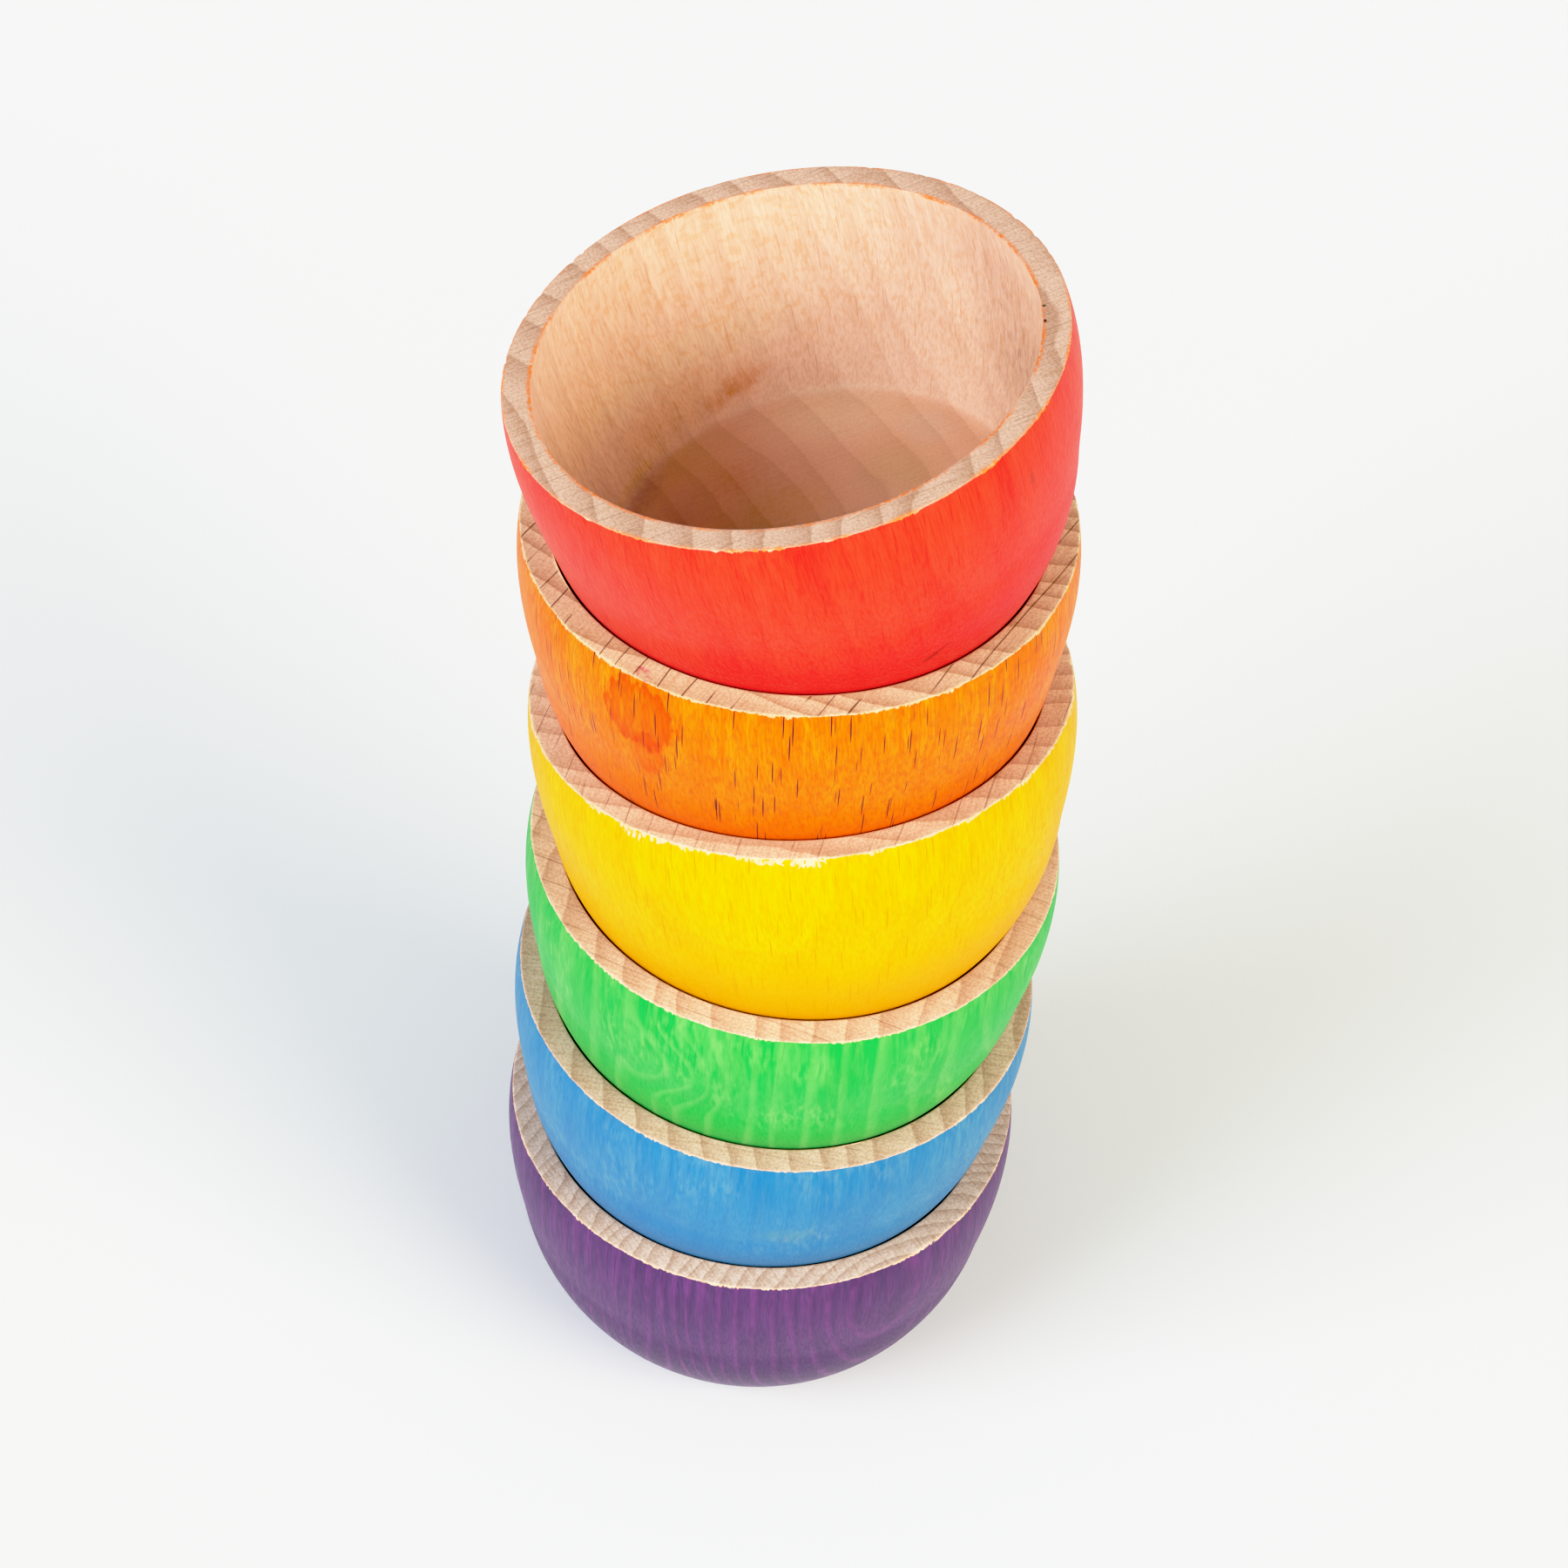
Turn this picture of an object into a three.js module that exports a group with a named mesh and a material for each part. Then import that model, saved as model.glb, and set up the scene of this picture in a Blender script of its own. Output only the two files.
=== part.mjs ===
// A stack of turned wooden bowls, all of one size, each stained another colour outside.
// Every bowl sits foot first in the mouth of the one below. Its flank is part of a ball, so it
// seats all round the mouth's edge however it leans.

import * as THREE from 'three';

// One bowl, in millimetres
const RIM_RADIUS = 35; // outer edge of the flat rim
const BOWL_HEIGHT = 40; // foot to rim
const WALL = 3.7; // thickness of the wall, measured level
const FLOOR = 9.9; // wood under the flat floor inside
const FOOT_ROUND = 8; // round between the flat foot and the flank
const FLOOR_COVE = 1.2; // hollow corner between the floor and the wall
const EDGE_BREAK = 0.3; // chamfer on both edges of the rim

// How a bowl seats in the next one
const SEAT_DEPTH = 13; // foot of a bowl to the mouth edge that carries it
const SEAT_ANGLE = 22.5; // degrees that the flank faces downwards at that edge
const SEAT_GAP = 0.3; // clearance between the flank and the edge

// How the wall runs from the ball flank up to the rim
const WALL_START_ANGLE = 9; // degrees that the flank still faces downwards there
const WALL_START_PULL = 2.7; // length over which the wall keeps the flank's direction
const RIM_ANGLE = 9; // degrees that the wall draws in at the rim
const RIM_PULL = 8; // length over which it draws in

// The stack from the bottom up. A bowl leans by so many degrees from the axis of the bowl below,
// towards a compass angle counted from +X.
const STACK = [
  { name: 'bowl_violet', colour: 0x6d4e7f, lean: 0, towards: 0 },
  { name: 'bowl_blue', colour: 0x58a9da, lean: 2.4, towards: -26 },
  { name: 'bowl_green', colour: 0x42d860, lean: 0.7, towards: 133 },
  { name: 'bowl_yellow', colour: 0xfee001, lean: 12, towards: 131 },
  { name: 'bowl_orange', colour: 0xfd8f0e, lean: 7.3, towards: -55 },
  { name: 'bowl_red', colour: 0xfe5339, lean: 10.8, towards: -179 },
];

const SATIN_STAIN = { roughness: 0.45, metalness: 0 };

// Facets: sides round a bowl, and steps along each curve of its section
const SIDES = 48;
const STEPS = { footRound: 3, flank: 5, wall: 4, insideFlank: 3, cove: 2 };

const radians = THREE.MathUtils.degToRad;

// The ball that the flank is part of: it passes through the mouth edge at the seat angle.
const mouthRadius = RIM_RADIUS - WALL;
const ballRadius = mouthRadius / Math.cos(radians(SEAT_ANGLE));
const ballHeight = SEAT_DEPTH + mouthRadius * Math.tan(radians(SEAT_ANGLE));

// From the centre of one bowl's ball to that of the bowl seated in it
const mouthEdgeHeight = BOWL_HEIGHT - EDGE_BREAK;
const seatRise = mouthEdgeHeight - ballHeight + Math.sqrt((ballRadius + SEAT_GAP) ** 2 - mouthRadius ** 2);

function arc(x, y, radius, fromAngle, toAngle) {
  return new THREE.EllipseCurve(x, y, radius, radius, fromAngle, toAngle, toAngle < fromAngle);
}

// The wall above the flank, from the end of the ball to just under the rim
function wallCurve(inset) {
  const startAngle = radians(WALL_START_ANGLE);
  const rimAngle = radians(RIM_ANGLE);
  const start = new THREE.Vector2(
    ballRadius * Math.cos(startAngle) - inset,
    ballHeight - ballRadius * Math.sin(startAngle),
  );
  const end = new THREE.Vector2(RIM_RADIUS - inset, mouthEdgeHeight);
  const upFromStart = new THREE.Vector2(Math.sin(startAngle), Math.cos(startAngle));
  const downFromEnd = new THREE.Vector2(Math.sin(rimAngle), -Math.cos(rimAngle));
  const startPull = start.clone().addScaledVector(upFromStart, WALL_START_PULL);
  const endPull = end.clone().addScaledVector(downFromEnd, RIM_PULL);
  return new THREE.CubicBezierCurve(start, startPull, endPull, end);
}

// Outside of the section, from the edge of the flat foot to the outer edge of the rim
function outsideSection() {
  const footRadius = Math.sqrt((ballRadius - FOOT_ROUND) ** 2 - (ballHeight - FOOT_ROUND) ** 2);
  const footAngle = Math.atan2(ballHeight - FOOT_ROUND, footRadius);
  const footRound = arc(footRadius, FOOT_ROUND, FOOT_ROUND, -Math.PI / 2, -footAngle);
  const flank = arc(0, ballHeight, ballRadius, -footAngle, -radians(WALL_START_ANGLE));
  return [
    ...footRound.getPoints(STEPS.footRound),
    ...flank.getPoints(STEPS.flank).slice(1),
    ...wallCurve(0).getPoints(STEPS.wall).slice(1),
    new THREE.Vector2(RIM_RADIUS - EDGE_BREAK, BOWL_HEIGHT),
  ];
}

// Inside of the section, from the inner edge of the rim to the edge of the flat floor:
// the outside's own curves, moved in by the wall
function insideSection() {
  const floorAngle = Math.asin((ballHeight - FLOOR) / ballRadius);
  const coveAngle = floorAngle - FLOOR_COVE / ballRadius;
  const flank = arc(-WALL, ballHeight, ballRadius, -radians(WALL_START_ANGLE), -coveAngle);
  const corner = new THREE.Vector2(ballRadius * Math.cos(floorAngle) - WALL, FLOOR);
  const floorEdge = new THREE.Vector2(corner.x - FLOOR_COVE, FLOOR);
  const cove = new THREE.QuadraticBezierCurve(flank.getPoint(1), corner, floorEdge);
  return [
    new THREE.Vector2(mouthRadius + EDGE_BREAK, BOWL_HEIGHT),
    ...wallCurve(WALL).getPoints(STEPS.wall).reverse(),
    ...flank.getPoints(STEPS.insideFlank).slice(1),
    ...cove.getPoints(STEPS.cove).slice(1),
  ];
}

// The bowl's solid, standing with the centre of its foot at the origin
function bowlGeometry() {
  const footCentre = new THREE.Vector2(0, 0);
  const floorCentre = new THREE.Vector2(0, FLOOR);
  const section = [footCentre, ...outsideSection(), ...insideSection(), floorCentre];
  return new THREE.LatheGeometry(section, SIDES).rotateX(Math.PI / 2);
}

// A bowl in a group whose origin is the centre of its ball, so that a lean turns it in its seat
function makeBowl({ name, colour, lean, towards }) {
  const mesh = new THREE.Mesh(
    bowlGeometry(),
    new THREE.MeshStandardMaterial({ color: colour, ...SATIN_STAIN }),
  );
  mesh.name = name;
  mesh.position.z = -ballHeight;
  const bowl = new THREE.Group();
  const leanAxis = new THREE.Vector3(-Math.sin(radians(towards)), Math.cos(radians(towards)), 0);
  bowl.quaternion.setFromAxisAngle(leanAxis, radians(lean));
  bowl.add(mesh);
  return bowl;
}

// Each bowl hangs in the group of the one below, so the leans add up along the stack.
function makeStack() {
  const stack = new THREE.Group();
  let carrier = stack;
  let seatHeight = ballHeight;
  for (const entry of STACK) {
    const bowl = makeBowl(entry);
    bowl.position.z = seatHeight;
    carrier.add(bowl);
    carrier = bowl;
    seatHeight = seatRise;
  }
  return stack;
}

export default makeStack();
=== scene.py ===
from dataclasses import dataclass, field
from math import asin, atan2, cos, pi, radians, sin, sqrt, tan

import bpy
import numpy as np
from mathutils import Matrix, Vector


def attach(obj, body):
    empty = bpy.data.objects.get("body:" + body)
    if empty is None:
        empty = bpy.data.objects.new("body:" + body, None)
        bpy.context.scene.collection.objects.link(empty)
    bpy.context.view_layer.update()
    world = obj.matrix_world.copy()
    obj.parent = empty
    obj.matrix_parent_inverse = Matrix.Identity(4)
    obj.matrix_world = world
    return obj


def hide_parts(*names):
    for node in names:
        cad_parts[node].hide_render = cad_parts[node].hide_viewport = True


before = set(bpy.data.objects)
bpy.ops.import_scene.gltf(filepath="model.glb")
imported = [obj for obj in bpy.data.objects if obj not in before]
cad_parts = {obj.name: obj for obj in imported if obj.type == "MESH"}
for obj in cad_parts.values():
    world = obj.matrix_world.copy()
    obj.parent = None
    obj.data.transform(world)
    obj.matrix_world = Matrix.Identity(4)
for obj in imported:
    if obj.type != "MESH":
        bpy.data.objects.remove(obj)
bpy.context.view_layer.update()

MM = 0.001

# The bowl's section in millimetres, the same sizes as its solid
RIM_RADIUS = 35
BOWL_HEIGHT = 40
WALL = 3.7
FLOOR = 9.9
FOOT_ROUND = 8
FLOOR_COVE = 1.2
SEAT_DEPTH = 13
SEAT_ANGLE = radians(22.5)
WALL_START_ANGLE = radians(9)
WALL_START_PULL = 2.7
RIM_ANGLE = radians(9)
RIM_PULL = 8

# Rounds of the rim's two edges, where the solid has chamfers
OUTER_ROUND = 0.35
INNER_ROUND = 0.15

MOUTH_RADIUS = RIM_RADIUS - WALL
BALL_RADIUS = MOUTH_RADIUS / cos(SEAT_ANGLE)
BALL_HEIGHT = SEAT_DEPTH + MOUTH_RADIUS * tan(SEAT_ANGLE)

# Distance along the section from the outer to the inner edge of the rim, over half of each round
RIM_SPAN = WALL - (OUTER_ROUND + INNER_ROUND) * (1 - pi / 4)

# How the turned and sanded surface departs from the true section
SANDED_OFF = 0.1  # all round the outside, above the seat
SANDED_FROM = 16  # height where it begins
SANDED_FADE = 6  # height that it takes to reach its full depth
TURNING_WAVES = 0.04
TURNING_COUNTS = range(2, 7)  # waves round the bowl
CHIP_COUNTS = range(20, 150)  # waves round the bowl whose crests are the chips
CHIP_START = 0.7  # height of a crest where a chip begins
CHIP_DEPTH = 0.3  # deepest chip in the rim's outer edge
CHIP_REACH = 0.6  # how far a chip runs from that edge

# Mesh fineness: sides round the bowl, and steps along its section in millimetres or as counts
SIDES = 480
STEP = 0.8
FLAT_STEP = 2 * STEP
RIM_STEP = 0.3
FEWEST_ARC_STEPS = 4
WALL_STEPS = 28
COVE_STEPS = 5

# Space between the pieces of the unwrapped sheet, in millimetres
SHEET_GAP = 2

# Cells of beech's figure in millimetres. The rays' lie across and up the wall, and the others along the
# growth rings, across them, and along the trunk
RAY_CELL = (0.38, 0.38, 10)
FLAKE_CELL = (0.4, 1.9, 1.2)
LINE_CELL = (0.25, 5, 5)
PORE_CELL = (0.34, 0.34, 3)
FIBRE_CELL = (0.25, 0.25, 3.5)
STREAK_CELL = (1.3, 1.3, 14)
CLOUD_CELL = (9, 9, 22)
RAY_THICKNESS = 0.26  # of the thickest ray, as a share of its cell
GRAIN_SLANT = 0.06  # how far the fibres lean, per millimetre of height
SEED_STEP = (31.7, 17.3, 23.9)  # how far apart in the wood one bowl lies from the next

# Waves in the growth rings: the cell of each, and how far it pushes them
RING_WAVES = (((70, 8, 200), 7), ((14, 14, 60), 2.5), ((2.4, 2.4, 25), 0.4))
RING_SHIFT = 0.05  # how far the rings shift, per millimetre of height

# Dark checks across the rim, in millimetres
CHECK_SPACING = 3.1
CHECK_WIDTH = 0.2
CHECK_WAVE = 3  # how far they wander
CHECK_WAVE_CELL = (7, 25, 40)
CHECK_PATCH_CELL = (3, 9, 7)

# Cells of wear in the stain, in millimetres
RUBBED_CELL = (2, 2, 3)
SCUFF_CELL = (0.7, 0.7, 2.8)
SCUFF_PATCH_CELL = (8, 8, 12)
MARK_CELL = (0.8, 0.8, 2.4)
WORN_EDGE_CELL = (0.5, 0.5, 0.9)
WORN_PATCH_CELL = (5, 5, 20)

# Heights on the bowl in millimetres, from where a thing begins to where it is full
DEEP_STAIN = (26, 12)
THIN_STAIN = (22, 39)
SCUFFED = (14, 24)
FLECKED = (9, 22)
FLAKED = (FLOOR, 22)
# Heights of the painted shade and warm bounce light in the bottom of the bowl
PAINTED_FLOOR_SHADE_HEIGHTS = (14, 11)

# Distances past the rim's edges in millimetres, from where stain begins to where it is full
STAIN_EDGE = (0.08, -0.12)
OUTER_BLEED = (0.6, 0.0)
INNER_BLEED = (0.6, 0.15)
CHIP_WEAR = 3  # how far a chip bares the wood, as a multiple of its depth

# The surface: bare wood from its smoothest to its roughest, and how much smoother the stain is
ROUGHNESS = (0.54, 0.66)
STAIN_SMOOTHNESS = 0.14
SPECULAR = 0.15
SHEEN_ROUGHNESS = 0.4
RELIEF = 0.08  # in millimetres
RELIEF_STRENGTH = 0.3
FIBRE_RELIEF = 0.6
RAY_RELIEF = -0.4

# What the figure does to the colour of bare wood, as a factor of red, green and blue, and a painted warm
# shade on the inside floor
LATE_TONE = (0.66, 0.54, 0.46)
RAY_TONE = (0.74, 0.58, 0.44)
FIBRE_TONE = (0.86, 0.79, 0.70)
FLAKE_TONE = (0.94, 0.78, 0.58)
PORE_TONE = (0.83, 0.76, 0.71)
CHECK_TONE = (0.36, 0.27, 0.22)
# Painted shade and warm bounce light in the bottom of the bowl
PAINTED_FLOOR_SHADE = (1.08, 0.86, 0.70)

# The photograph's camera: its place in millimetres, its angles, and its focal length on a 36 mm sensor
CAMERA_PLACE = Vector((0.0, -447.05, 608.42))
CAMERA_YAW = radians(-0.0875)
CAMERA_PITCH = radians(48.474)
CAMERA_ROLL = radians(5.013)
CAMERA_LENS = 118.69
SENSOR = 36

# Studio light: a cool lamp at the left, a warm one at the right, and pale walls under a dark ceiling,
# brightest in front
LAMPS = {
    "left": {"compass": -143, "elevation": 33, "strength": 1.65, "colour": (0.86, 0.91, 1.0)},
    "right": {"compass": -37, "elevation": 33, "strength": 1.6, "colour": (1.0, 0.88, 0.68)},
}
LAMP_SPREAD = radians(36)
FRONT_WALL = (2.2, 2.2, 2.2, 1)
BACK_WALL = (0.9, 0.9, 0.9, 1)
CEILING = (0.05, 0.05, 0.05, 1)
WALL_FADE = (-0.8, 0.8)  # from the front wall to the back one, as a direction's Y
CEILING_FADE = (0.45, 0.75)  # from the walls to the ceiling, as its Z

# The pale floor that the stack stands on, with its size in metres
STAGE_SIZE = 40
STAGE_COLOUR = (0.858, 0.892, 0.892, 1)
STAGE_ROUGHNESS = 0.9
STAGE_SPECULAR = 0.1

# The print's tone curve on linear light, up to its white: deeper shadows and rolled-off highlights
TONE_WHITE = 1.6
TONE_CURVE = (
    (0.03, 0.003), (0.1, 0.075), (0.2, 0.175), (0.4, 0.42),
    (0.6, 0.67), (0.75, 0.82), (0.9, 0.91), (1.1, 0.965),
)


@dataclass
class Mark:
    """A blotch, scuff or speck, centred at a compass angle, height and radius on the bowl. The same form
    carries patches of painted shade and light.
    """
    angle: float
    height: float
    radius: float
    size: tuple  # half its depth, width and height
    tone: tuple  # what it does to the colour, as a factor of red, green and blue
    turn: float = 0  # degrees that it leans from upright
    ragged: float = 0.5
    soft: float = 0.25  # share of its size over which it fades
    tide: float = 0  # how much weaker it is inside a line along its edge
    strength: float = 1.0


def painted_shading(angle, height, radius, size, tone, soft=0.9):
    """A soft patch of painted shade and light on the bowl: darker, paler or of another hue."""
    return Mark(angle, height, radius, size, tone, ragged=0.2, soft=soft)


@dataclass
class Look:
    """One bowl's wood and stain. Colours are sRGB from 0 to 255, lengths are in millimetres."""
    stain: tuple  # the stain at its usual strength
    deep: tuple  # a deeper stain, used low on the flank and in late wood
    thin: tuple  # where it is thin or scuffed
    fleck: tuple  # in the ends of the rays
    end: tuple  # bare end grain on the rim and floor
    long: tuple  # bare long grain on the inside wall
    ring_angle: float  # compass angle that the growth rings run along, in degrees
    ring_width: float
    pith: float  # distance of the tree's middle from the bowl's axis
    seed: int
    swirl: tuple = ()  # compass angle, height, size and strength of a swirl in the rings
    ring_dark: float = 0.3  # how much late wood deepens the stain
    ring_pale: float = 0.0  # how much it lightens it instead
    flecks: float = 0.4
    fibres: float = 0.3
    scuffs: float = 0.0
    streaks: float = 0.3
    checks: float = 0.0  # dark checks across the rim
    chips: float = 0.5  # how deep the rim's outer edge is chipped
    wear: float = 0.3  # how far the worn edge reaches down
    sheen: float = 0.12  # pale bloom where the surface turns away
    tooth: float = 0.0  # fine roughness that shows where light grazes the surface
    rings: float = 0.75  # how dark late wood is on bare end grain
    bleed: float = 0.0  # how much stain has run on to the rim's edges
    bleed_colour: tuple = (242, 132, 54)
    # Blotches, scuffs and specks, and patches of painted shade and light
    marks: list = field(default_factory=list)


LOOKS = {
    "violet": Look(
        stain=(91, 62, 106), deep=(69, 42, 84), thin=(129, 72, 132), fleck=(72, 49, 85),
        end=(231, 208, 190), long=(229, 196, 168),
        ring_angle=35, ring_width=2.0, pith=60, seed=1,
        ring_dark=0.6, ring_pale=0.45, streaks=0.25, chips=0.25, wear=0.2),
    "blue": Look(
        stain=(50, 125, 163), deep=(32, 108, 156), thin=(113, 153, 163), fleck=(40, 103, 143),
        end=(231, 198, 187), long=(229, 196, 168),
        ring_angle=88, ring_width=4.0, pith=120, seed=2, scuffs=0.35, streaks=0.15, checks=0.2,
        chips=0.25, wear=0.2,
        marks=[Mark(-81, 24, 34.8, (6, 6, 3), (2.6, 1.15, 0.85), ragged=1.0, soft=0.9, strength=0.7)]),
    "green": Look(
        stain=(37, 162, 71), deep=(6, 154, 50), thin=(132, 182, 108), fleck=(14, 138, 53),
        end=(229, 209, 193), long=(229, 196, 168),
        ring_angle=72, ring_width=4.2, pith=110, seed=3, swirl=(-112, 28, 11, 7),
        ring_dark=0.1, ring_pale=0.32, scuffs=0.45, streaks=0.2, checks=0.35, chips=0.25, wear=0.2),
    "yellow": Look(
        stain=(208, 169, 0), deep=(208, 148, 0), thin=(208, 179, 0), fleck=(180, 118, 0),
        end=(235, 220, 196), long=(231, 197, 161),
        ring_angle=170, ring_width=3.6, pith=140, seed=4, flecks=0.45, fibres=0.5, streaks=0.4, checks=0.5,
        chips=0.9, wear=0.75, sheen=0.0),
    "orange": Look(
        stain=(214, 120, 10), deep=(213, 90, 4), thin=(215, 143, 14), fleck=(88, 34, 46),
        end=(227, 215, 183), long=(229, 190, 152),
        ring_angle=152, ring_width=3.2, pith=90, seed=5, flecks=1.0, fibres=0.6, streaks=0.5,
        checks=1.0, chips=0.7, wear=0.35, rings=1.0,
        marks=[
            Mark(-120, 34, 35, (6, 5.3, 6), (0.93, 0.44, 0.7), ragged=0.9, soft=0.16, tide=0.5),
            Mark(-118, 27.5, 34.6, (6, 2.6, 4.4), (0.95, 0.58, 0.8), ragged=0.9, soft=0.2, tide=0.4),
        ]),
    "red": Look(
        stain=(213, 66, 46), deep=(198, 28, 36), thin=(214, 88, 58), fleck=(172, 31, 36),
        end=(222, 192, 173), long=(236, 204, 184),
        ring_angle=-65, ring_width=4.8, pith=85, seed=6, flecks=0.5, fibres=0.4, streaks=0.15,
        checks=0.25, chips=0.65, wear=0.2, bleed=1.0, tooth=4,
        marks=[
            # A dark mark low on the flank just above the bowl below, a smudge high on the flank, and a
            # brown patch low on the inside wall
            Mark(-60, 14.0, 31.6, (4, 3.2, 0.5), (0.5, 0.4, 0.34), turn=-25, soft=0.7),
            Mark(-32, 33, 35.6, (4, 0.5, 2.6), (0.5, 0.85, 1.1), ragged=0.9, soft=0.8, strength=0.8),
            Mark(116, 13.5, 27.6, (4, 6.5, 2.1), (0.88, 0.68, 0.52), turn=12, ragged=0.9, soft=0.9),
            # Patches of painted shade and painted light, with painted tints of the lamps' colours, on the
            # inside wall and floor
            painted_shading(16, 28, 26, (8, 21, 26), (0.54, 0.5, 0.48), soft=0.7),
            painted_shading(50, 34, 28, (8, 16, 11), (0.86, 0.82, 0.84)),
            painted_shading(178, 25, 26, (8, 20, 11), (1.02, 1.0, 0.8)),
            painted_shading(155, FLOOR, 13, (17, 19, 4), (0.92, 0.82, 0.82)),
            painted_shading(135, 14, 27.5, (6, 20, 5), (0.98, 0.93, 0.78)),
            painted_shading(168, FLOOR, 20, (7, 13, 1.6), (1.03, 0.94, 1.36)),
            painted_shading(160, FLOOR, 26.5, (4, 12, 2.5), (0.80, 0.68, 1.02)),
            painted_shading(158, 11, 27, (2.5, 13, 1.6), (1.0, 1.0, 0.72)),
            painted_shading(90, FLOOR, 22, (9, 15, 2), (1.05, 1.25, 1.28)),
            painted_shading(130, 21, 27, (6, 24, 6), (1.0, 1.1, 1.02)),
            painted_shading(120, FLOOR, 6, (9, 9, 1.6), (1.02, 0.99, 0.84)),
            painted_shading(48, FLOOR, 14, (7, 9, 1.6), (0.9, 0.97, 0.84)),
            painted_shading(165, FLOOR, 14, (5, 9, 1.6), (1.06, 0.99, 1.14)),
            painted_shading(138, FLOOR, 16.5, (5, 6, 1.6), (0.97, 0.88, 0.9)),
            painted_shading(56, FLOOR, 22, (5, 6, 1.6), (0.96, 1.1, 1.16)),
            # Two dark specks on the rim
            Mark(8, 40, 31.7, (0.3, 0.24, 2), (0.1, 0.07, 0.06)),
            Mark(3, 40, 31.6, (0.22, 0.3, 2), (0.12, 0.08, 0.07)),
        ]),
}


def arc(x, y, radius, from_angle, to_angle):
    """Points of a circular arc about (x, y), about a step apart."""
    count = max(int(abs(to_angle - from_angle) * radius / STEP), FEWEST_ARC_STEPS)
    angles = np.linspace(from_angle, to_angle, count + 1)
    return np.column_stack([x + radius * np.cos(angles), y + radius * np.sin(angles)])


def bezier(points, count):
    """Points along a Bezier curve with any number of control points."""
    t = np.linspace(0, 1, count + 1)[:, None]
    while len(points) > 1:
        points = [(1 - t) * a + t * b for a, b in zip(points, points[1:])]
    return points[0]


def straight(start, end, step):
    """Points of a straight line, about a step apart."""
    count = max(int(np.hypot(*np.subtract(end, start)) / step), 1)
    return bezier([np.array(start, float), np.array(end, float)], count)


def wall_curve(inset, top):
    """The wall above the ball flank, moved in by inset, up to the height top."""
    start = np.array([
        BALL_RADIUS * cos(WALL_START_ANGLE) - inset,
        BALL_HEIGHT - BALL_RADIUS * sin(WALL_START_ANGLE),
    ])
    end = np.array([RIM_RADIUS - inset, top])
    start_pull = start + WALL_START_PULL * np.array([sin(WALL_START_ANGLE), cos(WALL_START_ANGLE)])
    end_pull = end + RIM_PULL * np.array([sin(RIM_ANGLE), -cos(RIM_ANGLE)])
    return bezier([start, start_pull, end_pull, end], WALL_STEPS)


def bowl_section():
    """The bowl's half section from foot centre to floor centre, as rows of radius and height.

    Also gives the rows where the foot ends, the rim has its outer edge and the floor begins."""
    foot_radius = sqrt((BALL_RADIUS - FOOT_ROUND) ** 2 - (BALL_HEIGHT - FOOT_ROUND) ** 2)
    foot_angle = atan2(BALL_HEIGHT - FOOT_ROUND, foot_radius)
    floor_angle = asin((BALL_HEIGHT - FLOOR) / BALL_RADIUS)
    cove_angle = floor_angle - FLOOR_COVE / BALL_RADIUS
    corner = np.array([BALL_RADIUS * cos(floor_angle) - WALL, FLOOR])
    inside_flank = arc(-WALL, BALL_HEIGHT, BALL_RADIUS, -WALL_START_ANGLE, -cove_angle)
    floor_edge = corner - (FLOOR_COVE, 0)
    rim_outside = (RIM_RADIUS - OUTER_ROUND, BOWL_HEIGHT)
    rim_inside = (MOUTH_RADIUS + INNER_ROUND, BOWL_HEIGHT)
    foot = straight((0, 0), (foot_radius, 0), FLAT_STEP)
    outside = [
        arc(foot_radius, FOOT_ROUND, FOOT_ROUND, -pi / 2, -foot_angle),
        arc(0, BALL_HEIGHT, BALL_RADIUS, -foot_angle, -WALL_START_ANGLE),
        wall_curve(0, BOWL_HEIGHT - OUTER_ROUND),
        arc(RIM_RADIUS - OUTER_ROUND, BOWL_HEIGHT - OUTER_ROUND, OUTER_ROUND, 0, pi / 2),
    ]
    inside = [
        straight(rim_outside, rim_inside, RIM_STEP),
        arc(MOUTH_RADIUS + INNER_ROUND, BOWL_HEIGHT - INNER_ROUND, INNER_ROUND, pi / 2, pi),
        wall_curve(WALL, BOWL_HEIGHT - INNER_ROUND)[::-1],
        inside_flank,
        bezier([inside_flank[-1], corner, floor_edge], COVE_STEPS),
    ]
    floor = straight(floor_edge, (0, FLOOR), FLAT_STEP)
    rows = np.vstack([foot] + [part[1:] for part in outside + inside + [floor]])
    foot_row = len(foot) - 1
    edge_row = foot_row + sum(len(part) - 1 for part in outside) - len(outside[-1]) // 2
    return rows, foot_row, edge_row, len(rows) - len(floor)


def bowl_place(node):
    """The bowl's own axes in the row frame, read from its solid: foot centre, +Z along the axis."""
    corners = np.array([v.co[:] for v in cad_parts[node].data.vertices])
    middle = corners.mean(axis=0)
    spread, directions = np.linalg.eigh(np.cov((corners - middle).T))
    lone = 0 if spread[1] - spread[0] > spread[2] - spread[1] else 2
    up = Vector(directions[:, lone])
    up = up if up.z > 0 else -up
    foot = Vector(middle) + up * ((corners - middle) @ np.array(up)).min()
    across = up.cross(Vector((1, 0, 0))).normalized()
    right = across.cross(up)
    return Matrix.Translation(foot) @ Matrix((right, across, up)).transposed().to_4x4()


def waves(random, angles, counts):
    """An uneven closed curve of about unit size: a wave of random strength and phase for each count."""
    total = np.zeros_like(angles)
    for count in counts:
        total += random.normal() * np.cos(count * angles + random.uniform(0, 2 * pi))
    return total / sqrt(len(counts))


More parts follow.
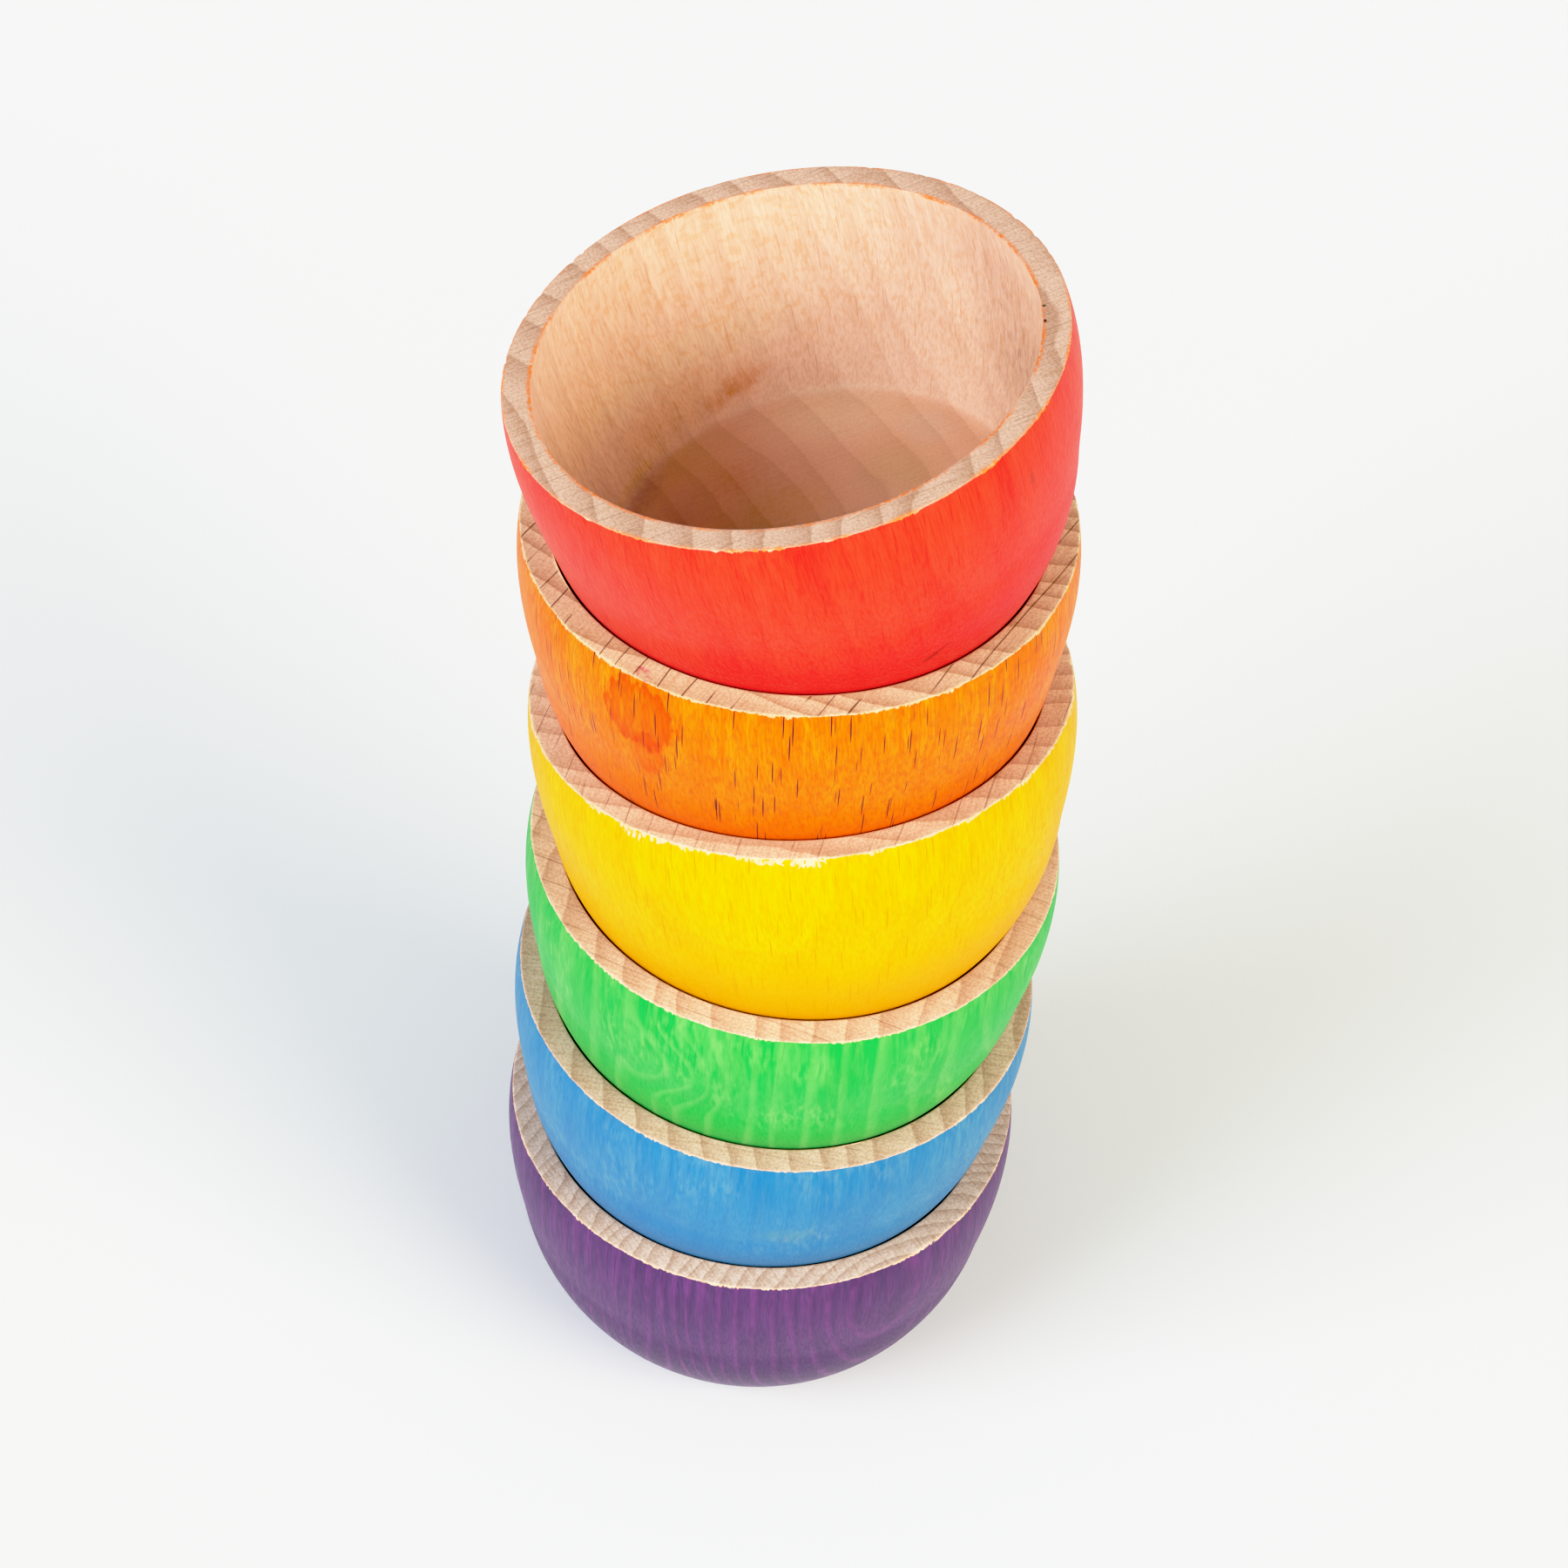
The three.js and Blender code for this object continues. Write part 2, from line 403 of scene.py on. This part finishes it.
def bowl_faces(row_count):
    """The faces between the rows as point numbers, and the row and side of each of their corners.

    The first and the last row are one point each, on the axis."""
    last_row = row_count - 1
    row, side = np.meshgrid(np.arange(last_row), np.arange(SIDES), indexing="ij")
    corner_rows = np.stack([row, row, row + 1, row + 1], axis=2).reshape(-1, 4)
    corner_sides = np.stack([side, side + 1, side + 1, side], axis=2).reshape(-1, 4)
    numbers = 1 + (corner_rows - 1) * SIDES + corner_sides % SIDES
    numbers[corner_rows == 0] = 0
    numbers[corner_rows == last_row] = 1 + (last_row - 1) * SIDES
    faces, uv_rows, uv_sides = [], [], []
    for face, face_rows, face_sides in zip(numbers.tolist(), corner_rows.tolist(), corner_sides.tolist()):
        keep = [0, 1, 2, 3]
        if face_rows[0] == 0:
            keep = [0, 2, 3]
        elif face_rows[2] == last_row:
            keep = [0, 1, 2]
        faces.append([face[k] for k in keep])
        uv_rows += [face_rows[k] for k in keep]
        uv_sides += [face_sides[k] for k in keep]
    return faces, np.array(uv_rows), np.array(uv_sides)


def bowl_mesh(name, place, look):
    """One bowl's mesh in the row frame, with the attributes that its material reads."""
    rows, foot_row, edge_row, floor_row = bowl_section()
    along = np.concatenate([[0], np.cumsum(np.hypot(*np.diff(rows, axis=0).T))])
    along -= along[edge_row]
    slope = np.gradient(rows, axis=0)
    slope /= np.hypot(*slope.T)[:, None]
    angles = np.linspace(-pi, pi, SIDES, endpoint=False)

    # How far each point lies inside the true section, and how deep the outer edge is chipped there
    random = np.random.RandomState(look.seed)
    above_seat = np.clip((rows[:, 1] - SANDED_FROM) / SANDED_FADE, 0, 1) * (along < RIM_SPAN)
    turning = np.outer(above_seat, waves(random, angles, TURNING_COUNTS)) * TURNING_WAVES
    chips = np.clip(waves(random, angles, CHIP_COUNTS) - CHIP_START, 0, 1) * CHIP_DEPTH * look.chips
    chip = np.outer(np.exp(-(along / CHIP_REACH) ** 2), chips)
    inset = SANDED_OFF * above_seat[:, None] + np.clip(turning, -SANDED_OFF, SANDED_OFF) + chip

    radius = rows[:, :1] - inset * slope[:, 1:]
    height = rows[:, 1:] + inset * slope[:, :1]
    true_points = np.stack([
        rows[:, :1] * np.cos(angles), rows[:, :1] * np.sin(angles), np.repeat(rows[:, 1:], SIDES, axis=1),
    ], axis=2)
    points = np.stack([radius * np.cos(angles), radius * np.sin(angles), height], axis=2)

    def on_points(grid):
        """Values of every row and side, with one point on the axis for the first and the last row."""
        return np.concatenate([grid[0, :1], grid[1:-1].reshape(-1, *grid.shape[2:]), grid[-1, :1]])

    faces, uv_rows, uv_sides = bowl_faces(len(rows))
    mesh = bpy.data.meshes.new(name)
    mesh.from_pydata((on_points(points) * MM).tolist(), [], faces)
    mesh.transform(place)

    def attribute(key, kind, part, grid):
        data = mesh.attributes.new(key, kind, "POINT").data
        data.foreach_set(part, on_points(grid).astype(np.float32).ravel())

    every_side = np.ones(SIDES)
    attribute("grain", "FLOAT_VECTOR", "vector", true_points)
    attribute("along", "FLOAT", "value", np.outer(along, every_side))
    attribute("end_grain", "FLOAT", "value", np.outer(np.abs(slope[:, 0]), every_side))
    attribute("chip", "FLOAT", "value", chip)
    unwrap(mesh, uv_rows, uv_sides, rows, along, (foot_row, floor_row))
    mesh.shade_smooth()
    mesh.update()
    return mesh


def unwrap(mesh, uv_rows, uv_sides, rows, along, discs):
    """Two strips, the front and back half of the wall, and two discs, the foot and the floor."""
    foot_row, floor_row = discs
    strip_width = pi * RIM_RADIUS
    strip_height = along[floor_row] - along[foot_row]
    sheet = 2 * strip_height + 3 * SHEET_GAP
    face_side = np.empty(len(uv_sides), int)
    face_row = np.empty(len(uv_rows), int)
    for polygon in mesh.polygons:
        corners = slice(polygon.loop_start, polygon.loop_start + polygon.loop_total)
        face_side[corners] = uv_sides[corners].min()
        face_row[corners] = uv_rows[corners].min()
    back = face_side >= SIDES // 2
    turn = uv_sides - back * (SIDES // 2)
    u = SHEET_GAP + turn / (SIDES / 2) * strip_width
    v = SHEET_GAP + back * (strip_height + SHEET_GAP) + along[uv_rows] - along[foot_row]
    angle = -pi + uv_sides * 2 * pi / SIDES
    column = strip_width + 2 * SHEET_GAP
    for chosen, centre in (
        (face_row < foot_row, (column + rows[foot_row, 0], SHEET_GAP + rows[foot_row, 0])),
        (face_row >= floor_row, (column + rows[floor_row, 0], sheet - SHEET_GAP - rows[floor_row, 0])),
    ):
        radius = rows[uv_rows, 0]
        u = np.where(chosen, centre[0] + radius * np.cos(angle), u)
        v = np.where(chosen, centre[1] + radius * np.sin(angle), v)
    layer = mesh.uv_layers.new(name="OFBake")
    layer.uv.foreach_set("vector", (np.column_stack([u, v]) / sheet).astype(np.float32).ravel())


def linear(colour):
    """An sRGB colour from 0 to 255 as a linear one with alpha."""
    parts = [c / 255 for c in colour]
    return (*[c / 12.92 if c <= 0.04045 else ((c + 0.055) / 1.055) ** 2.4 for c in parts], 1)


class Graph:
    """Short calls that build a material's nodes. A value is a socket or a constant."""

    def __init__(self, tree):
        self.tree = tree

    def node(self, kind, *values, **settings):
        made = self.tree.nodes.new("ShaderNode" + kind)
        for key, value in settings.items():
            setattr(made, key, value)
        for socket, value in zip(made.inputs, values):
            self.set(socket, value)
        return made

    def set(self, socket, value):
        if isinstance(value, bpy.types.NodeSocket):
            self.tree.links.new(value, socket)
        else:
            socket.default_value = value

    def math(self, operation, *values):
        return self.node("Math", *values, operation=operation).outputs[0]

    def times(self, *values):
        product = values[0]
        for value in values[1:]:
            product = self.math("MULTIPLY", product, value)
        return product

    def vector(self, operation, *values):
        made = self.node("VectorMath", *values, operation=operation)
        return made.outputs["Value" if operation == "LENGTH" else "Vector"]

    def read(self, attribute, output):
        return self.node("Attribute", attribute_name=attribute).outputs[output]

    def rotated(self, place, axis, degrees):
        made = self.node("VectorRotate", place, rotation_type=axis)
        made.inputs["Angle"].default_value = radians(degrees)
        return made.outputs[0]

    def noise(self, place, cell, detail=2):
        """Even noise from 0 to 1 with cells of this size."""
        made = self.node("TexNoise", noise_dimensions="3D")
        self.set(made.inputs["Vector"], self.vector("DIVIDE", place, cell))
        self.set(made.inputs["Scale"], 1)
        self.set(made.inputs["Detail"], detail)
        return made.outputs[0]

    def spindles(self, place, cell, thickness):
        """Thin scattered spindles, at most one in each cell, up to this share of the cell thick."""
        made = self.node("TexVoronoi", voronoi_dimensions="3D", feature="F1")
        self.set(made.inputs["Vector"], self.vector("DIVIDE", place, cell))
        self.set(made.inputs["Scale"], 1)
        chance = self.node("SeparateColor", made.outputs["Color"]).outputs[0]
        reach = self.band(chance, 0.05, 0.8, 0, thickness)
        return self.band(self.math("SUBTRACT", made.outputs["Distance"], reach), 0.0, -0.05)

    def band(self, value, low, high, to_low=0, to_high=1):
        """A smooth step from to_low to to_high, as value goes from low to high."""
        made = self.node("MapRange", value, low, high, to_low, to_high, interpolation_type="SMOOTHSTEP")
        return made.outputs[0]

    def mix(self, amount, first, second, blend="MIX"):
        made = self.node("Mix", data_type="RGBA", blend_type=blend)
        self.set(made.inputs[0], amount)
        self.set(made.inputs[6], first)
        self.set(made.inputs[7], second)
        return made.outputs[2]

    def tint(self, amount, colour, tone):
        """The colour times a factor in each channel, as far as amount says."""
        return self.mix(amount, colour, (*tone, 1), "MULTIPLY")


def beech_figure(g, look):
    """The wood's figure, mostly as shares from 0 to 1, by name."""
    own = g.read("grain", "Vector")
    height = g.node("SeparateXYZ", own).outputs[2]
    slant = g.node("CombineXYZ", g.times(height, GRAIN_SLANT), 0, 0).outputs[0]
    wood = g.rotated(g.vector("ADD", own, slant), "Z_AXIS", -look.ring_angle)
    seed = tuple(step * look.seed for step in SEED_STEP)
    seeded = g.vector("ADD", wood, seed)

    # The rays' ends are dashes that run up the wall, as if it were a cylinder
    around = g.vector("NORMALIZE", g.vector("MULTIPLY", own, (1, 1, 0)))
    upward = g.vector("MULTIPLY", own, (0, 0, 1))
    cylinder = g.vector("MULTIPLY_ADD", around, (RIM_RADIUS, RIM_RADIUS, 0), upward)
    dashes = g.spindles(g.vector("ADD", cylinder, seed), RAY_CELL, RAY_THICKNESS)

    from_pith = g.vector("MULTIPLY", g.vector("ADD", wood, (0, look.pith, 0)), (1, 1, 0))
    distance = g.vector("LENGTH", from_pith)
    for cell, reach in RING_WAVES:
        distance = g.math("MULTIPLY_ADD", g.noise(seeded, cell, 1), reach, distance)
    distance = g.math("MULTIPLY_ADD", height, RING_SHIFT, distance)
    if look.swirl:
        angle, swirl_height, size, reach = look.swirl
        centre = (RIM_RADIUS * cos(radians(angle)), RIM_RADIUS * sin(radians(angle)), swirl_height)
        away = g.vector("LENGTH", g.vector("DIVIDE", g.vector("SUBTRACT", own, centre), (size, size, size)))
        distance = g.math("MULTIPLY_ADD", g.band(away, 1, 0), reach, distance)
    year = g.math("FRACT", g.math("DIVIDE", distance, look.ring_width))

    along_rings = g.node("SeparateXYZ", seeded).outputs[0]
    across = g.math("MULTIPLY_ADD", g.noise(seeded, CHECK_WAVE_CELL, 1), CHECK_WAVE, along_rings)
    phase = g.math("FRACT", g.math("DIVIDE", across, CHECK_SPACING))
    check_gap = g.times(g.math("ABSOLUTE", g.math("SUBTRACT", phase, 0.5)), CHECK_SPACING)
    check_chance = g.band(g.noise(seeded, CHECK_PATCH_CELL, 1), 0.42, 0.50)
    return {
        "own": own, "height": height, "seeded": seeded,
        "late": g.times(g.math("POWER", year, 1.8), g.band(year, 1.0, 0.93)),
        "line": g.times(g.band(year, 0.55, 0.85), g.band(year, 1.0, 0.9)),
        "rays": g.times(dashes, g.band(g.read("end_grain", "Fac"), 0.95, 0.75)),
        "flakes": g.band(g.noise(seeded, FLAKE_CELL, 2), 0.48, 0.66),
        "lines": g.band(g.noise(seeded, LINE_CELL, 2), 0.42, 0.70),
        "pores": g.band(g.noise(seeded, PORE_CELL, 2), 0.38, 0.66),
        "fibres": g.noise(seeded, FIBRE_CELL, 3),
        "streaks": g.noise(seeded, STREAK_CELL, 3),
        "clouds": g.noise(seeded, CLOUD_CELL, 2),
        "checks": g.times(g.band(check_gap, 0.6 * CHECK_WIDTH, 0.3 * CHECK_WIDTH), check_chance),
    }


def bare_colour(g, look, figure, end_grain):
    """Bare beech: end grain where the trunk's fibres are cut across, long grain elsewhere, with a painted
    warm shade on the inside floor.
    """
    long = g.tint(g.band(figure["fibres"], 0.35, 0.70, 0, 0.7), linear(look.long), FIBRE_TONE)
    long = g.tint(g.band(figure["streaks"], 0.40, 0.70, 0, 0.3), long, FIBRE_TONE)
    long = g.tint(g.times(figure["late"], 0.2), long, LATE_TONE)
    flakes = g.times(figure["flakes"], g.band(figure["height"], *FLAKED, 0.2, 0.5))
    long = g.tint(flakes, long, FLAKE_TONE)
    long = g.tint(g.times(figure["rays"], 0.45), long, RAY_TONE)
    at_rim = g.band(figure["height"], FLOOR, BOWL_HEIGHT)
    pores = g.times(figure["pores"], g.band(at_rim, 0, 1, 0.3, 0.9))
    lines = g.times(figure["lines"], g.band(at_rim, 0, 1, 0.25, 0.75))
    late = g.times(figure["late"], g.band(at_rim, 0, 1, 0.38 * look.rings, look.rings))
    end = g.tint(pores, linear(look.end), PORE_TONE)
    end = g.tint(lines, end, FIBRE_TONE)
    end = g.tint(late, end, LATE_TONE)
    # Painted shade and warm bounce light in the bottom of the bowl
    end = g.tint(g.band(figure["height"], *PAINTED_FLOOR_SHADE_HEIGHTS, 0, 0.6), end, PAINTED_FLOOR_SHADE)
    if look.checks:
        end = g.tint(g.times(figure["checks"], at_rim, look.checks), end, CHECK_TONE)
    return g.mix(g.band(end_grain, 0.55, 0.9), long, end)


def stained_colour(g, look, figure):
    """The stain over the wood's figure, thin where scuffed and deep low on the flank."""
    stain, deep, thin = linear(look.stain), linear(look.deep), linear(look.thin)
    thinner = g.band(figure["height"], *THIN_STAIN, 0.6 * look.streaks, 1.6 * look.streaks)
    colour = g.mix(g.times(g.band(figure["streaks"], 0.42, 0.68), thinner), stain, thin)
    colour = g.mix(g.band(figure["fibres"], 0.40, 0.66, 0, look.fibres), colour, deep)
    colour = g.mix(g.times(figure["late"], look.ring_dark), colour, deep)
    colour = g.mix(g.band(figure["clouds"], 0.45, 0.75, 0, 0.4), colour, deep)
    colour = g.mix(g.band(figure["height"], *DEEP_STAIN, 0, 0.85), colour, deep)
    if look.ring_pale:
        rubbed = g.band(g.noise(figure["seeded"], RUBBED_CELL, 2), 0.35, 0.65, 0.2, look.ring_pale)
        colour = g.mix(g.times(figure["line"], rubbed), colour, thin)
    if look.scuffs:
        patches = g.band(g.noise(figure["seeded"], SCUFF_PATCH_CELL, 1), 0.4, 0.62, 0, look.scuffs)
        scuffs = g.band(g.noise(figure["seeded"], SCUFF_CELL, 3), 0.42, 0.68)
        amount = g.times(scuffs, patches, g.band(figure["height"], *SCUFFED))
        colour = g.mix(amount, colour, thin)
    flecks = g.math("MAXIMUM", g.times(figure["flakes"], 0.2), figure["rays"])
    amount = g.times(flecks, g.band(figure["height"], *FLECKED, 0.7 * look.flecks, look.flecks))
    return g.mix(amount, colour, linear(look.fleck))


def marked(g, look, figure, colour):
    """The colour with the bowl's marks on it: blotches, scuffs and specks, and patches of painted shade and
    light.
    """
    ragged = g.noise(figure["seeded"], MARK_CELL, 2)
    thinned = g.band(ragged, 0.3, 0.7, 1, 0.75)
    for mark in look.marks:
        turn = radians(mark.angle)
        centre = (mark.radius * cos(turn), mark.radius * sin(turn), mark.height)
        facing = g.rotated(g.vector("SUBTRACT", figure["own"], centre), "Z_AXIS", -mark.angle)
        upright = g.rotated(facing, "X_AXIS", mark.turn)
        distance = g.vector("LENGTH", g.vector("DIVIDE", upright, mark.size))
        uneven = g.math("MULTIPLY_ADD", ragged, mark.ragged, distance)
        edge = 1 + mark.ragged * 0.5
        share = g.times(g.band(uneven, edge, edge - mark.soft), thinned, mark.strength)
        if mark.tide:
            inside, line = edge - 3 * mark.soft, edge - mark.soft
            share = g.times(share, g.band(uneven, inside, line, 1 - mark.tide, 1))
        colour = g.tint(share, colour, mark.tone)
    return colour


def bowl_material(name, look):
    """Stained beech: stain outside, bare wood on the rim, inside and where the rim's outer edge is worn."""
    material = bpy.data.materials.new(name)
    material.use_nodes = True
    g = Graph(material.node_tree)
    shader = material.node_tree.nodes["Principled BSDF"]
    along = g.read("along", "Fac")
    chip = g.read("chip", "Fac")
    end_grain = g.read("end_grain", "Fac")
    figure = beech_figure(g, look)
    bare = bare_colour(g, look, figure, end_grain)
    stain = stained_colour(g, look, figure)

    ragged = g.noise(figure["seeded"], WORN_EDGE_CELL, 3)
    uneven = g.noise(figure["seeded"], WORN_PATCH_CELL, 1)
    reach = g.times(g.band(uneven, 0.4, 0.7, 0.15, 1), g.band(ragged, 0.35, 0.65, 0, 2), look.wear)
    worn_to = g.math("MULTIPLY_ADD", chip, CHIP_WEAR, reach)
    stained = g.band(g.math("ADD", along, worn_to), *STAIN_EDGE)
    if look.bleed:
        inner_gap = g.math("ABSOLUTE", g.math("SUBTRACT", along, RIM_SPAN))
        at_edges = g.math("MAXIMUM", g.band(along, *OUTER_BLEED), g.band(inner_gap, *INNER_BLEED))
        patches = g.band(uneven, 0.35, 0.6, 0.2, look.bleed)
        run = g.times(at_edges, g.band(ragged, 0.35, 0.6, 0.2, 1), patches)
        bare = g.mix(run, bare, linear(look.bleed_colour))
    colour = marked(g, look, figure, g.mix(stained, bare, stain))

    g.set(shader.inputs["Base Color"], colour)
    rough = g.band(figure["fibres"], 0.3, 0.7, *ROUGHNESS)
    g.set(shader.inputs["Roughness"], g.math("MULTIPLY_ADD", stained, -STAIN_SMOOTHNESS, rough))
    shader.inputs["Specular IOR Level"].default_value = SPECULAR
    shader.inputs["Sheen Weight"].default_value = look.sheen
    shader.inputs["Sheen Roughness"].default_value = SHEEN_ROUGHNESS
    relief = g.math("MULTIPLY_ADD", figure["fibres"], FIBRE_RELIEF, g.times(figure["rays"], RAY_RELIEF))
    if look.tooth:
        relief = g.math("MULTIPLY_ADD", g.times(ragged, stained), look.tooth, relief)
    bump = g.node("Bump")
    g.set(bump.inputs["Strength"], RELIEF_STRENGTH)
    g.set(bump.inputs["Distance"], RELIEF * MM)
    g.set(bump.inputs["Height"], relief)
    g.set(shader.inputs["Normal"], bump.outputs[0])
    return material


def make_bowl(name, look):
    node = "bowl_" + name
    mesh = bowl_mesh(name + "_bowl", bowl_place(node), look)
    mesh.materials.append(bowl_material(name + "_stained_beech", look))
    bowl = bpy.data.objects.new(name + "_bowl", mesh)
    bpy.context.scene.collection.objects.link(bowl)
    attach(bowl, name)
    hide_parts(node)


def make_camera():
    forward = Vector((
        sin(CAMERA_YAW) * cos(CAMERA_PITCH),
        cos(CAMERA_YAW) * cos(CAMERA_PITCH),
        -sin(CAMERA_PITCH),
    ))
    level = forward.cross(Vector((0, 0, 1))).normalized()
    upright = level.cross(forward)
    right = level * cos(CAMERA_ROLL) + upright * sin(CAMERA_ROLL)
    up = upright * cos(CAMERA_ROLL) - level * sin(CAMERA_ROLL)
    data = bpy.data.cameras.new("camera")
    data.sensor_width = SENSOR
    data.lens = CAMERA_LENS
    camera = bpy.data.objects.new("camera", data)
    turn = Matrix((right, up, -forward)).transposed().to_4x4()
    camera.matrix_world = Matrix.Translation(CAMERA_PLACE * MM) @ turn
    bpy.context.scene.collection.objects.link(camera)
    bpy.context.scene.camera = camera


def make_floor():
    bpy.ops.mesh.primitive_plane_add(size=STAGE_SIZE)
    floor = bpy.context.object
    floor.name = "floor"
    material = bpy.data.materials.new("pale_floor")
    material.use_nodes = True
    shader = material.node_tree.nodes["Principled BSDF"]
    shader.inputs["Base Color"].default_value = STAGE_COLOUR
    shader.inputs["Roughness"].default_value = STAGE_ROUGHNESS
    shader.inputs["Specular IOR Level"].default_value = STAGE_SPECULAR
    floor.data.materials.append(material)


def make_light():
    world = bpy.data.worlds.new("studio")
    world.use_nodes = True
    g = Graph(world.node_tree)
    direction = g.node("TexCoord").outputs["Generated"]
    _, back, height = g.node("SeparateXYZ", direction).outputs
    walls = g.mix(g.band(back, *WALL_FADE), FRONT_WALL, BACK_WALL)
    room = g.mix(g.band(height, *CEILING_FADE), walls, CEILING)
    g.set(world.node_tree.nodes["Background"].inputs["Color"], room)
    bpy.context.scene.world = world
    for name, lamp in LAMPS.items():
        data = bpy.data.lights.new(name, "SUN")
        data.angle = LAMP_SPREAD
        data.energy = lamp["strength"]
        data.color = lamp["colour"]
        light = bpy.data.objects.new(name, data)
        compass, elevation = radians(lamp["compass"]), radians(lamp["elevation"])
        towards = Vector((cos(compass) * cos(elevation), sin(compass) * cos(elevation), sin(elevation)))
        light.rotation_euler = towards.to_track_quat("Z", "Y").to_euler()
        light.location = towards
        bpy.context.scene.collection.objects.link(light)


def set_tones():
    view = bpy.context.scene.view_settings
    view.view_transform = "Standard"
    view.use_curve_mapping = True
    mapping = view.curve_mapping
    mapping.white_level = (TONE_WHITE, TONE_WHITE, TONE_WHITE)
    for light, shown in TONE_CURVE:
        mapping.curves[3].points.new(light / TONE_WHITE, shown)
    mapping.update()


set_tones()
make_camera()
make_floor()
make_light()
for name, look in LOOKS.items():
    make_bowl(name, look)
